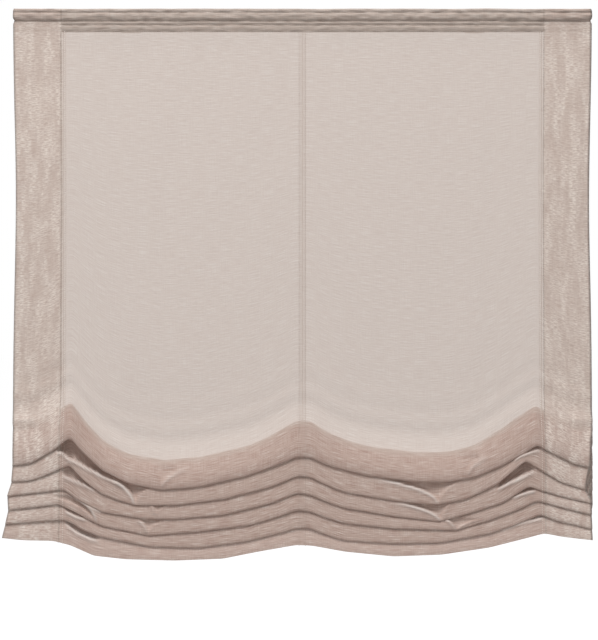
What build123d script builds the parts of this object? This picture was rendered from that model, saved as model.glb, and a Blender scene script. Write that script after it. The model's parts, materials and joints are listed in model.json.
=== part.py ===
from build123d import *
from math import cos, pi
import os

# A soft roman blind, half raised, in millimetres.
# +X runs along the head rail, +Y into the wall, +Z up; the origin is the middle of the wall fixing holes.

# Cloth as it hangs
BLIND_WIDTH = 1000.0
HUNG_HEIGHT = 948.0
CLOTH_THICK = 0.9
HEADER_HEIGHT = 22.0
HEADER_THICK = 2.6
HEADER_EDGE = 1.2
HEM_HEIGHT = 24.0
HEM_THICK = 1.8
CLOTH_ABOVE_RAIL = 5.0

# Folds: height of their stack, how far each stands forward and how round its edge is
STACK_HEIGHT = 200.0
RING_INSET = 86.0
RING_DEPTH = 28.0
SWAG_DEPTH = 33.0
EDGE_DEPTH = 28.0
FIRST_LEAN = 34.0
TURN_WIDTH = 5.0
TURN_RISE = 5.0
CREST_WIDTH = 2.6
CREST_RISE = 2.4
RING_SEAT_HEIGHT = 3.2

# Ring tapes, rings and lift cords
TAPE_WIDTH = 10.0
TAPE_THICK = 0.5
RING_OUTER_R = 6.5
RING_INNER_R = 4.7
RING_HEIGHT = 1.6
RING_SPACING = 180.0
FIRST_RING_DROP = 280.0
RING_GAP = 0.05
CORD_R = 0.7
CORD_GAP = 0.3
STOP_R = 5.8
STOP_HEIGHT = 7.0
STOP_CHAMFER = 1.6

# Head rail and the hook and loop tapes on its face
RAIL_DEPTH = 30.0
RAIL_HEIGHT = 28.0
RAIL_WALL = 1.4
RAIL_LIP = 5.0
RAIL_CORNER = 1.6
RAIL_WALL_GAP = 0.5
HOOK_THICK = 1.4
LOOP_THICK = 1.4
HOOK_HEIGHT = 20.0
HOOK_BELOW_RAIL_TOP = 4.0
END_INSET = 4.0

# Wall brackets, clamps and their screws
BRACKET_SPACING = 600.0
BRACKET_WIDTH = 40.0
BRACKET_THICK = 2.0
BRACKET_BEND_R = 3.0
BRACKET_CORNER = 4.0
BRACKET_FOOT = 16.0
BRACKET_REACH = 26.0
FIXING_SPACING = 16.0
FIXING_HOLE_R = 2.25
RAIL_TOP = 15.0
CLAMP_WIDTH = 16.0
CLAMP_THICK = 2.0
CLAMP_SIDE_GAP = 1.2
CLAMP_CORNER = 3.0
SCREW_R = 2.0
SCREW_HEAD_FLATS = 7.0
SCREW_HEAD_HEIGHT = 2.2
SCREW_HOLE_GAP = 0.1

# Drive shaft, spools and their cradles
SHAFT_BELOW_RAIL_TOP = 13.9
SHAFT_FLATS = 6.0
HEX_GAP = 0.05
CORE_R = 8.0
FLANGE_R = 10.8
FLANGE_THICK = 2.0
JOURNAL_R = 4.5
JOURNAL_LENGTH = 3.0
BEARING_GAP = 0.08
WINDING_WIDTH = 20.3
CORD_LANE = 3.0
CRADLE_WALL = 2.0
CRADLE_FLOOR = 1.2
CRADLE_SIDE = 1.6
CRADLE_SIDE_HEIGHT = 5.0
CRADLE_BLOCK_HEIGHT = 16.0
CRADLE_GAP = 0.1
FLANGE_GAP = 0.4
EYELET_BORE_R = 1.3
EYELET_BUSH_R = 2.9
EYELET_FLANGE_R = 4.6
EYELET_FLANGE_THICK = 1.0
EYELET_GAP = 0.1

# End cap and side control
CAP_PLATE = 3.0
SPIGOT_LENGTH = 12.0
SPIGOT_GAP = 0.15
BUSH_R = 5.0
BUSH_LENGTH = 10.0
END_PLAY = 0.5
HOUSING_HALF = 14.9
HOUSING_CORNER = 2.4
HOUSING_CAVITY_R = 13.4
HOUSING_PLATE = 2.0
HOUSING_LENGTH = 13.0
COVER_THICK = 2.0
HUB_R = 6.0
WHEEL_RIM_R = 12.3
WHEEL_RIM_THICK = 2.0
WHEEL_WIDTH = 10.0
WHEEL_BALL_R = 2.4
WHEEL_BALL_CIRCLE_R = 10.5
WHEEL_BALLS = 11
WHEEL_TREAD_R = 10.9
WHEEL_WEB = 2.0
SPRING_ROOM_R = 7.4
BRAKE_CORE_R = 5.0
SPRING_GAP = 0.2
SPRING_WIRE = 1.0
SPRING_PITCH = 1.3
SPRING_TURNS = 3
SPRING_STEPS = 8
CHAIN_SLOT = 6.0
COVER_SCREW_INSET = 3.4
COVER_SCREW_R = 1.1
COVER_SCREW_HEAD_R = 2.1
COVER_SCREW_HEAD_HEIGHT = 1.2
COVER_SCREW_LENGTH = 8.0
CUT_OVERRUN = 5.0

# Sides that stand for a round on the drums, on the small repeated pieces and on the cords
DRUM_SIDES = 16
SMALL_SIDES = 12
CORD_SIDES = 8

# Places across the blind: edge, ring line, lowest place of the swag, middle ring line and so on
LOW_SHARES = (0.47, 0.53)
HALF_WIDTH = BLIND_WIDTH / 2
RING_LINE = HALF_WIDTH - RING_INSET
COLUMNS = (
    -HALF_WIDTH,
    -RING_LINE,
    -RING_LINE * (1 - LOW_SHARES[0]),
    0.0,
    RING_LINE * LOW_SHARES[1],
    RING_LINE,
    HALF_WIDTH,
)
RING_LINES = (-RING_LINE, 0.0, RING_LINE)
SIDES = ("left", "center", "right")

# Lower edge of each fold at those places, from the top fold to the hem: its height above the lowest place
# of the hem, as a share of the stack's height
LEVEL_SHARES = (
    (0.801, 1.000, 0.611, 0.872, 0.673, 0.976, 0.796),
    (0.664, 0.787, 0.469, 0.706, 0.483, 0.777, 0.611),
    (0.555, 0.597, 0.356, 0.559, 0.346, 0.607, 0.493),
    (0.441, 0.465, 0.223, 0.412, 0.256, 0.512, 0.389),
    (0.318, 0.337, 0.114, 0.261, 0.156, 0.398, 0.275),
    (0.190, 0.128, 0.000, 0.137, 0.043, 0.223, 0.171),
)
DEPTHS = (EDGE_DEPTH, RING_DEPTH, SWAG_DEPTH, RING_DEPTH, SWAG_DEPTH, RING_DEPTH, EDGE_DEPTH)

# How high the back leg of a fold climbs at those places, as shares of the stack's height
RISE_SHARES = (0.33, 0.31, 0.25, 0.31, 0.25, 0.31, 0.33)

# How sharply the cloth climbs to a ring line between two places: 1 is straight, more is a pointed peak
PEAK_POWERS = (1.2, 2.2, 1.5, 1.4, 1.9, 1.2)

# Places along a fold's legs and across a swag where the cloth is measured out
PUFF_SHARE = 0.4
FRONT_DROP_SHARE = 0.6
FRONT_FORWARD_SHARE = 0.45
BACK_DROP_SHARE = 0.5
BACK_FORWARD_SHARE = 0.385
TURN_SHARE = 0.4
TAIL_SHARES = (0.0, 0.5, 1.0)
SPAN_SHARES = (0.0, 0.09, 0.22, 0.4, 0.6, 0.78, 0.91, 1.0)

# Places that follow from the sizes above
RAIL_BACK_Y = -BRACKET_THICK - RAIL_WALL_GAP
RAIL_FRONT_Y = RAIL_BACK_Y - RAIL_DEPTH
RAIL_MIDDLE_Y = RAIL_BACK_Y - RAIL_DEPTH / 2
RAIL_BOTTOM = RAIL_TOP - RAIL_HEIGHT
RAIL_FLOOR = RAIL_BOTTOM + RAIL_WALL
RAIL_LEFT = -HALF_WIDTH + END_INSET + CAP_PLATE
RAIL_RIGHT = HALF_WIDTH - END_INSET - HOUSING_LENGTH - COVER_THICK - COVER_SCREW_HEAD_HEIGHT
CLOTH_TOP = RAIL_TOP + CLOTH_ABOVE_RAIL
CLOTH_BACK_Y = RAIL_FRONT_Y - HOOK_THICK - LOOP_THICK
CORD_Y = CLOTH_BACK_Y + TAPE_THICK + RING_GAP + RING_OUTER_R
SHAFT_Y = CORD_Y + CORE_R + CORD_R + CORD_GAP
SHAFT_Z = RAIL_TOP - SHAFT_BELOW_RAIL_TOP
SHAFT_LEFT = RAIL_LEFT + END_PLAY
SHAFT_RIGHT = RAIL_RIGHT
HOOK_TOP = RAIL_TOP - HOOK_BELOW_RAIL_TOP


def box_between(low, high):
    """A box between two corners."""
    size = [b - a for a, b in zip(low, high)]
    middle = [(a + b) / 2 for a, b in zip(low, high)]
    return Pos(*middle) * Box(*size)


def along_x(sketch, start, end, y=SHAFT_Y, z=SHAFT_Z):
    """A profile drawn in Y and Z, pushed along the rail from start to end."""
    return Pos(start, y, z) * extrude(Plane.YZ * sketch, end - start)


def hexagon(flats):
    return RegularPolygon(flats / 2, 6, major_radius=False)


def drum_disc(radius):
    return RegularPolygon(radius, DRUM_SIDES)


def small_disc(radius):
    return RegularPolygon(radius, SMALL_SIDES)


def small_hole(radius):
    """Cutter for a small upright hole through whatever lies within the overrun."""
    return extrude(small_disc(radius), CUT_OVERRUN, both=True)


def hang(x, values):
    """A value at x: it falls from each ring line to the low places on both sides in a pointed curve."""
    span = max(i for i in range(len(PEAK_POWERS)) if i == 0 or x >= COLUMNS[i])
    low, peak = (span, span + 1) if span % 2 == 0 else (span + 1, span)
    share = (x - COLUMNS[low]) / (COLUMNS[peak] - COLUMNS[low])
    return values[low] + (values[peak] - values[low]) * share ** PEAK_POWERS[span]


def fold_drop(fold, x):
    """How far below the top edge the lower edge of a fold hangs."""
    return HUNG_HEIGHT - STACK_HEIGHT * hang(x, LEVEL_SHARES[fold])


def crest_drop(fold, x):
    """How far below the top edge the cloth turns over, behind the fold, into the next one."""
    return fold_drop(fold, x) - STACK_HEIGHT * hang(x, RISE_SHARES)


def leg_forward(depth, share):
    """How far forward the front leg of a fold stands, a share of the way down it."""
    if share < FRONT_DROP_SHARE:
        return depth * FRONT_FORWARD_SHARE * share / FRONT_DROP_SHARE
    rest = (share - FRONT_DROP_SHARE) / (1 - FRONT_DROP_SHARE)
    return depth * (FRONT_FORWARD_SHARE + (1 - FRONT_FORWARD_SHARE) * rest)


def cloth_path(x):
    """Back face of the cloth at x from top to hem: places (forward, drop) and the thickness at each."""
    depth = hang(x, DEPTHS)
    path = [(0, 0), (0, HEADER_HEIGHT * PUFF_SHARE), (0, HEADER_HEIGHT)]
    thick = [HEADER_EDGE, HEADER_THICK, CLOTH_THICK]
    start = crest_drop(0, x) - FIRST_LEAN
    path.append((0, start))
    for fold in range(len(LEVEL_SHARES) - 1):
        bottom = fold_drop(fold, x) - CLOTH_THICK
        crest = crest_drop(fold, x)
        front = bottom - TURN_RISE
        path += [
            (depth * FRONT_FORWARD_SHARE, start + (front - start) * FRONT_DROP_SHARE),
            (depth, front),
            (depth - TURN_WIDTH * TURN_SHARE, bottom),
            (depth - TURN_WIDTH, front + TURN_RISE * TURN_SHARE),
            (depth * BACK_FORWARD_SHARE, crest + (front - crest) * BACK_DROP_SHARE),
            (CREST_WIDTH, crest - CREST_RISE),
            (0, crest - RING_SEAT_HEIGHT / 2),
            (0, crest + RING_SEAT_HEIGHT / 2),
        ]
        start = crest + RING_SEAT_HEIGHT / 2
    bottom = fold_drop(len(LEVEL_SHARES) - 1, x)
    shares = sorted([FRONT_DROP_SHARE, 1 - HEM_HEIGHT / (bottom - start)]) + [1]
    path += [(leg_forward(depth, share), start + (bottom - start) * share) for share in shares]
    thick += [CLOTH_THICK] * (len(path) - len(thick) - 1) + [HEM_THICK]
    return path, thick


def beside(path, distances):
    """A path moved sideways, towards the room where the distance is positive, with mitred corners."""
    normals = []
    for (f0, d0), (f1, d1) in zip(path, path[1:]):
        run = Vector(d1 - d0, f0 - f1).normalized()
        normals.append(run)
    moved = []
    for i, (forward, drop) in enumerate(path):
        before = normals[max(i - 1, 0)]
        after = normals[min(i, len(normals) - 1)]
        mitre = (before + after).normalized()
        reach = distances[i] / mitre.dot(before)
        moved.append((forward + mitre.X * reach, drop + mitre.Y * reach))
    return moved


def section(x, path, other):
    """Corners of the closed outline at x between two paths along the cloth."""
    outline = path + other[::-1]
    return [Vector(x, CLOTH_BACK_Y - forward, CLOTH_TOP - drop) for forward, drop in outline]


def sheet_through(sections):
    """Closed sheet with two flat three-sided faces from each edge of an outline to the next outline."""
    outlines = [sections[0], sections[-1]]
    for left, right in zip(sections, sections[1:]):
        corners = list(zip(left, right))
        for (a, b), (c, d) in zip(corners, corners[1:] + corners[:1]):
            outlines += [(a, b, d), (a, d, c)]
    return Solid(Shell([Face(Wire.make_polygon(outline, close=True)) for outline in outlines]))


def cloth_places():
    """Places across the blind where the cloth's section is drawn, tape edges among them."""
    half_tape = TAPE_WIDTH / 2
    left_tail = -HALF_WIDTH, -RING_LINE - half_tape
    places = [left_tail[0] + (left_tail[1] - left_tail[0]) * share for share in TAIL_SHARES]
    for first, last in zip(RING_LINES, RING_LINES[1:]):
        start = first + half_tape
        end = last - half_tape
        places += [start + (end - start) * share for share in SPAN_SHARES]
    places += [-x for x in reversed(places[: len(TAIL_SHARES)])]
    return places


def fabric_panel():
    """The sewn cloth: puffed header, flat panel, five swagged folds and the hem, in one sheet."""
    outlines = []
    for x in cloth_places():
        path, thick = cloth_path(x)
        outlines.append(section(x, path, beside(path, thick)))
    return sheet_through(outlines)


def ring_tape(line):
    """Tape sewn to the back of the cloth along one ring line, through every fold."""
    outlines = []
    for x in (line - TAPE_WIDTH / 2, line + TAPE_WIDTH / 2):
        path = [(0, CLOTH_TOP - HOOK_TOP + HOOK_HEIGHT)] + cloth_path(x)[0][3:]
        outlines.append(section(x, path, beside(path, [-TAPE_THICK] * len(path))))
    return sheet_through(outlines)


def ring_levels(line):
    """Heights of the rings on one line: those gathered at the folds, then those on the flat panel."""
    edges = (line - TAPE_WIDTH / 2, line + TAPE_WIDTH / 2)
    drops = [sum(crest_drop(fold, x) for x in edges) / 2 for fold in range(len(LEVEL_SHARES) - 1)]
    flat_end = min(crest_drop(0, x) for x in COLUMNS) - FIRST_LEAN
    drop = FIRST_RING_DROP
    while drop < flat_end - RING_HEIGHT:
        drops.append(drop)
        drop += RING_SPACING
    return [CLOTH_TOP - drop for drop in drops]


def tape_rings(line):
    ring = extrude(small_disc(RING_OUTER_R) - small_disc(RING_INNER_R), RING_HEIGHT / 2, both=True)
    return [Pos(line, CORD_Y, level) * ring for level in ring_levels(line)]


def cord_bottom(line):
    """Underside of the lowest ring, where the cord ends in its stop."""
    return min(ring_levels(line)) - RING_HEIGHT / 2


def lift_cord(line):
    length = SHAFT_Z - cord_bottom(line)
    return Pos(line, CORD_Y, SHAFT_Z) * extrude(RegularPolygon(CORD_R, CORD_SIDES), -length)


def cord_stop(line):
    stop = extrude(small_disc(STOP_R), -STOP_HEIGHT)
    stop = chamfer(stop.edges().group_by(Axis.Z)[0], STOP_CHAMFER)
    return Pos(line, CORD_Y, cord_bottom(line)) * stop


def head_rail():
    """Channel, open at the top between two lips, with a hole for each cord."""
    outer = Rectangle(RAIL_DEPTH, RAIL_HEIGHT)
    outer = chamfer(outer.vertices().group_by(Axis.Y)[0], RAIL_CORNER)
    room = Rectangle(RAIL_DEPTH - 2 * RAIL_WALL, RAIL_HEIGHT - 2 * RAIL_WALL)
    mouth_width = RAIL_DEPTH - 2 * RAIL_WALL - 2 * RAIL_LIP
    mouth = Pos(0, RAIL_HEIGHT / 2) * Rectangle(mouth_width, RAIL_HEIGHT)
    rail = along_x(outer - room - mouth, RAIL_LEFT, RAIL_RIGHT, RAIL_MIDDLE_Y, RAIL_TOP - RAIL_HEIGHT / 2)
    for line in RING_LINES:
        rail -= Pos(line, CORD_Y, RAIL_BOTTOM) * small_hole(EYELET_BUSH_R + EYELET_GAP)
    return rail


def hook_tape(back, thick):
    """Hook or loop tape along the rail, standing out from the plane at back."""
    return box_between((RAIL_LEFT, back - thick, HOOK_TOP - HOOK_HEIGHT), (RAIL_RIGHT, back, HOOK_TOP))


def wall_bracket(x):
    """Bent steel angle: the upright leg takes two wall screws, the top leg lies on the rail."""
    top = RAIL_TOP + BRACKET_THICK
    upright = Pos(-BRACKET_THICK / 2, (top - BRACKET_FOOT) / 2) * Rectangle(BRACKET_THICK, top + BRACKET_FOOT)
    shelf = Pos(-BRACKET_REACH / 2, top - BRACKET_THICK / 2) * Rectangle(BRACKET_REACH, BRACKET_THICK)
    profile = upright + shelf
    corner = profile.vertices().sort_by_distance((0, top, 0))[0]
    profile = fillet(corner, BRACKET_BEND_R)
    bracket = along_x(profile, x - BRACKET_WIDTH / 2, x + BRACKET_WIDTH / 2, 0, 0)
    tips = bracket.edges().filter_by(Axis.Z).group_by(Axis.Y)[0]
    feet = bracket.edges().filter_by(Axis.Y).group_by(Axis.Z)[0]
    bracket = chamfer(tips + feet, BRACKET_CORNER)
    for z in (-FIXING_SPACING / 2, FIXING_SPACING / 2):
        bracket -= Pos(x, 0, z) * Rot(90, 0, 0) * Cylinder(FIXING_HOLE_R, 2 * CUT_OVERRUN)
    return bracket - Pos(x, RAIL_MIDDLE_Y, RAIL_TOP) * small_hole(SCREW_R + SCREW_HOLE_GAP)


def rail_clamp(x):
    """Plate turned under both lips of the rail and drawn up by its screw."""
    width = RAIL_DEPTH - 2 * RAIL_WALL - 2 * CLAMP_SIDE_GAP
    outline = chamfer(Rectangle(CLAMP_WIDTH, width).vertices(), CLAMP_CORNER)
    plate = extrude(outline, -CLAMP_THICK) - small_hole(SCREW_R + SCREW_HOLE_GAP)
    return Pos(x, RAIL_MIDDLE_Y, RAIL_TOP - RAIL_WALL) * plate


def clamp_screw(x):
    length = BRACKET_THICK + RAIL_WALL + CLAMP_THICK
    screw = extrude(hexagon(SCREW_HEAD_FLATS), SCREW_HEAD_HEIGHT)
    screw += extrude(small_disc(SCREW_R), -length)
    return Pos(x, RAIL_MIDDLE_Y, RAIL_TOP + BRACKET_THICK) * screw


def drive_shaft():
    return along_x(hexagon(SHAFT_FLATS), SHAFT_LEFT, SHAFT_RIGHT)


def spool_ends(line):
    """Faces of the two flanges that look at the cord, left and right."""
    return line - CORD_LANE, line + CORD_LANE / 2 + WINDING_WIDTH


def spool(line):
    """Flanged drum with a journal at each end and a hexagonal bore."""
    left, right = spool_ends(line)
    outer = FLANGE_THICK + JOURNAL_LENGTH
    drum = along_x(drum_disc(JOURNAL_R), left - outer, right + outer)
    drum += along_x(drum_disc(FLANGE_R), left - FLANGE_THICK, right + FLANGE_THICK)
    drum -= along_x(drum_disc(FLANGE_R + CUT_OVERRUN) - drum_disc(CORE_R), left, right)
    return drum - along_x(hexagon(SHAFT_FLATS + 2 * HEX_GAP), left - outer, right + outer)


def cord_winding(line):
    """The turns of cord on a spool, in one layer beside the turn that leaves it."""
    right = spool_ends(line)[1]
    turns = drum_disc(CORE_R + 2 * CORD_R) - drum_disc(CORE_R)
    return along_x(turns, right - WINDING_WIDTH, right)


def spool_cradle(line):
    """Moulded tray on the rail's floor, with a bearing block at each end of the spool."""
    left, right = spool_ends(line)
    outer = FLANGE_THICK + FLANGE_GAP
    start = left - outer - CRADLE_WALL
    end = right + outer + CRADLE_WALL
    half = RAIL_DEPTH / 2 - RAIL_WALL - CRADLE_GAP
    back = RAIL_MIDDLE_Y + half
    front = RAIL_MIDDLE_Y - half
    tray = box_between((start, front, RAIL_FLOOR), (end, back, RAIL_FLOOR + CRADLE_SIDE_HEIGHT))
    tray -= box_between(
        (start + CRADLE_WALL, front + CRADLE_SIDE, RAIL_FLOOR + CRADLE_FLOOR),
        (end - CRADLE_WALL, back - CRADLE_SIDE, RAIL_TOP),
    )
    for x in (start, end - CRADLE_WALL):
        tray += box_between((x, front, RAIL_FLOOR), (x + CRADLE_WALL, back, RAIL_FLOOR + CRADLE_BLOCK_HEIGHT))
    seat = JOURNAL_R + BEARING_GAP
    slot = drum_disc(seat) + Pos(0, RAIL_HEIGHT / 2) * Rectangle(2 * seat, RAIL_HEIGHT)
    tray -= along_x(slot, start - CUT_OVERRUN, end + CUT_OVERRUN)
    return tray - Pos(line, CORD_Y, RAIL_FLOOR) * small_hole(EYELET_BUSH_R)


def cord_eyelet(line):
    """Flanged bush pushed up into the rail's floor, which the cord runs through."""
    eyelet = extrude(small_disc(EYELET_FLANGE_R), -EYELET_FLANGE_THICK)
    eyelet += extrude(small_disc(EYELET_BUSH_R), RAIL_WALL)
    eyelet -= small_hole(EYELET_BORE_R)
    return Pos(line, CORD_Y, RAIL_BOTTOM) * eyelet


def rail_spigot(start, end):
    """Block that slides into the open end of the rail."""
    half = RAIL_DEPTH / 2 - RAIL_WALL - SPIGOT_GAP
    low = RAIL_FLOOR + SPIGOT_GAP
    high = RAIL_TOP - RAIL_WALL - SPIGOT_GAP
    return box_between((start, RAIL_MIDDLE_Y - half, low), (end, RAIL_MIDDLE_Y + half, high))


def idle_end_cap():
    """Cap with a spigot and a blind bearing for the free end of the shaft."""
    plate = Rectangle(RAIL_DEPTH, RAIL_HEIGHT)
    plate = chamfer(plate.vertices().group_by(Axis.Y)[0], RAIL_CORNER)
    middle = RAIL_TOP - RAIL_HEIGHT / 2
    cap = along_x(plate, RAIL_LEFT - CAP_PLATE, RAIL_LEFT, RAIL_MIDDLE_Y, middle)
    cap += rail_spigot(RAIL_LEFT, RAIL_LEFT + SPIGOT_LENGTH)
    return cap - along_x(Circle(BUSH_R + BEARING_GAP), RAIL_LEFT, RAIL_LEFT + SPIGOT_LENGTH)


def idle_bush():
    ring = Circle(BUSH_R) - hexagon(SHAFT_FLATS + 2 * HEX_GAP)
    return along_x(ring, SHAFT_LEFT, SHAFT_LEFT + BUSH_LENGTH)


def cover_screw_places():
    """The two upper corners of the side control."""
    offset = HOUSING_HALF - COVER_SCREW_INSET
    return [(SHAFT_Y + side * offset, SHAFT_Z + offset) for side in (-1, 1)]


def control_outline():
    return chamfer(Rectangle(2 * HOUSING_HALF, 2 * HOUSING_HALF).vertices(), HOUSING_CORNER)


def control_housing():
    """Cup round the chain wheel: a spigot and bearing towards the rail, two chain slots below."""
    end = RAIL_RIGHT + HOUSING_LENGTH
    housing = along_x(control_outline(), RAIL_RIGHT, end)
    housing -= along_x(drum_disc(HOUSING_CAVITY_R), RAIL_RIGHT + HOUSING_PLATE, end)
    housing += rail_spigot(RAIL_RIGHT - SPIGOT_LENGTH, RAIL_RIGHT)
    housing -= along_x(Circle(HUB_R + BEARING_GAP), RAIL_RIGHT - SPIGOT_LENGTH, end)
    middle = RAIL_RIGHT + HOUSING_PLATE + END_PLAY + WHEEL_WIDTH / 2
    for side in (-1, 1):
        y = SHAFT_Y + side * WHEEL_BALL_CIRCLE_R
        housing -= box_between(
            (middle - CHAIN_SLOT / 2, y - CHAIN_SLOT / 2, SHAFT_Z - HOUSING_HALF - CUT_OVERRUN),
            (middle + CHAIN_SLOT / 2, y + CHAIN_SLOT / 2, SHAFT_Z),
        )
    hole = small_disc(COVER_SCREW_R + BEARING_GAP)
    for y, z in cover_screw_places():
        housing -= along_x(hole, end - COVER_SCREW_LENGTH, end, y, z)
    return housing


def control_cover():
    """Outer plate of the side control, with the fixed core that the brake spring grips."""
    start = RAIL_RIGHT + HOUSING_LENGTH
    cover = along_x(control_outline(), start, start + COVER_THICK)
    core_length = WHEEL_WIDTH - WHEEL_WEB
    cover += along_x(drum_disc(BRAKE_CORE_R), start - core_length, start)
    hole = small_disc(COVER_SCREW_R + BEARING_GAP)
    for y, z in cover_screw_places():
        cover -= along_x(hole, start, start + COVER_THICK, y, z)
    return cover


def cover_screw(y, z):
    seat = RAIL_RIGHT + HOUSING_LENGTH + COVER_THICK
    screw = along_x(small_disc(COVER_SCREW_HEAD_R), seat, seat + COVER_SCREW_HEAD_HEIGHT, y, z)
    return screw + along_x(small_disc(COVER_SCREW_R), seat - COVER_SCREW_LENGTH, seat, y, z)


def chain_wheel():
    """Pocketed wheel for a ball chain, its hub on the shaft's end and room for the brake spring."""
    start = RAIL_RIGHT + HOUSING_PLATE + END_PLAY
    end = start + WHEEL_WIDTH
    pocket = RegularPolygon(WHEEL_BALL_R, CORD_SIDES)
    pockets = PolarLocations(WHEEL_BALL_CIRCLE_R, WHEEL_BALLS) * pocket
    tread = RegularPolygon(WHEEL_TREAD_R, 2 * WHEEL_BALLS) - pockets
    wheel = along_x(tread, start, end)
    for x in (start, end - WHEEL_RIM_THICK):
        wheel += along_x(RegularPolygon(WHEEL_RIM_R, 2 * WHEEL_BALLS), x, x + WHEEL_RIM_THICK)
    wheel += along_x(Circle(HUB_R), RAIL_RIGHT - SPIGOT_LENGTH, start)
    wheel -= along_x(drum_disc(SPRING_ROOM_R), start + WHEEL_WEB, end)
    socket = hexagon(SHAFT_FLATS + 2 * HEX_GAP)
    return wheel - along_x(socket, RAIL_RIGHT - SPIGOT_LENGTH, RAIL_RIGHT + END_PLAY)


def clutch_spring():
    """Square-wire spring wrapped on the fixed core inside the wheel."""
    start = RAIL_RIGHT + HOUSING_PLATE + END_PLAY + WHEEL_WEB + SPRING_WIRE
    inner = (BRAKE_CORE_R + SPRING_GAP) / cos(pi / SPRING_STEPS)
    wire = [(inner, 0), (inner + SPRING_WIRE, 0), (inner + SPRING_WIRE, SPRING_WIRE), (inner, SPRING_WIRE)]
    sections = []
    for step in range(SPRING_TURNS * SPRING_STEPS + 1):
        turn = Rot(360 * step / SPRING_STEPS, 0, 0)
        corners = [turn * Pos(start + SPRING_PITCH * step / SPRING_STEPS + x, 0, r) for r, x in wire]
        sections.append([Pos(0, SHAFT_Y, SHAFT_Z) * corner for corner in corners])
    return sheet_through([[place.position for place in corners] for corners in sections])


def bracket_places():
    return {"left": -BRACKET_SPACING / 2, "right": BRACKET_SPACING / 2}


def all_nodes():
    """Every piece of the blind by its node name."""
    nodes = {
        "fabric_panel": fabric_panel(),
        "header_loop_tape": hook_tape(CLOTH_BACK_Y + LOOP_THICK, LOOP_THICK),
        "rail_hook_tape": hook_tape(RAIL_FRONT_Y, HOOK_THICK),
        "head_rail": head_rail(),
        "drive_shaft": drive_shaft(),
        "cord_stops": Compound([cord_stop(line) for line in RING_LINES]),
        "cord_eyelets": Compound([cord_eyelet(line) for line in RING_LINES]),
        "clamp_screws": Compound([clamp_screw(x) for x in bracket_places().values()]),
        "idle_end_cap": idle_end_cap(),
        "idle_bush": idle_bush(),
        "control_housing": control_housing(),
        "control_cover": control_cover(),
        "cover_screws": Compound([cover_screw(y, z) for y, z in cover_screw_places()]),
        "chain_wheel": chain_wheel(),
        "clutch_spring": clutch_spring(),
    }
    for side, line in zip(SIDES, RING_LINES):
        nodes["ring_tape_" + side] = ring_tape(line)
        nodes["tape_rings_" + side] = Compound(tape_rings(line))
        nodes["lift_cord_" + side] = lift_cord(line)
        nodes["spool_" + side] = spool(line)
        nodes["cord_winding_" + side] = cord_winding(line)
        nodes["spool_cradle_" + side] = spool_cradle(line)
    for side, x in bracket_places().items():
        nodes["wall_bracket_" + side] = wall_bracket(x)
        nodes["rail_clamp_" + side] = rail_clamp(x)
    return nodes


os.makedirs("parts", exist_ok=True)
for name, shape in all_nodes().items():
    export_step(shape, f"parts/{name}.step")
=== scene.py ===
import json
import math

import bmesh
import bpy
import numpy as np
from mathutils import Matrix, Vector, noise


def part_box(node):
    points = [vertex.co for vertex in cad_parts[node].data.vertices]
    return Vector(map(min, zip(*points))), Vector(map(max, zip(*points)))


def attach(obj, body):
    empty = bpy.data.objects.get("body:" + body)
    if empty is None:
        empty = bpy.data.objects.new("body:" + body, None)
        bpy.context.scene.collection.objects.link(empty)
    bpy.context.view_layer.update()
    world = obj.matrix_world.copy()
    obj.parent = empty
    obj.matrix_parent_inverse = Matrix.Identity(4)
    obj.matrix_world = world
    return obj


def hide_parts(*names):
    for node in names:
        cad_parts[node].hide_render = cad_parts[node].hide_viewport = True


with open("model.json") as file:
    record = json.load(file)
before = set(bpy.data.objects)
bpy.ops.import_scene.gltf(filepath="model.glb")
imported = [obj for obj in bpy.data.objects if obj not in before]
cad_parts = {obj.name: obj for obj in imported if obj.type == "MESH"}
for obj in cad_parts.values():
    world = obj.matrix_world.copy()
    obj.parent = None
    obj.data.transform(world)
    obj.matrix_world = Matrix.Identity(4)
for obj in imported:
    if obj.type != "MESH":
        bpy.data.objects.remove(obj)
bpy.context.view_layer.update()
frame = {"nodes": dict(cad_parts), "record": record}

# A soft roman blind, half raised. Lengths are in millimetres; meshes are made in metres.
MM = 0.001
SIDES = ("left", "center", "right")
HEAD = "head_assembly"
DRIVE = "drive"


def box_mm(node):
    """Lowest and highest corner of a node, in millimetres."""
    low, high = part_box(node)
    return np.array(low) / MM, np.array(high) / MM


# Places that the frame gives
_, CLOTH_HIGH = box_mm("fabric_panel")
CLOTH_TOP = CLOTH_HIGH[2]
CLOTH_BACK = CLOTH_HIGH[1]
HALF_WIDTH = CLOTH_HIGH[0]
RING_LINES = {side: sum(box_mm("ring_tape_" + side)).tolist()[0] / 2 for side in SIDES}
CORD_Y = sum(box_mm("lift_cord_center"))[1] / 2
TAPE_TOP = CLOTH_TOP - box_mm("ring_tape_center")[1][2]

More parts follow.
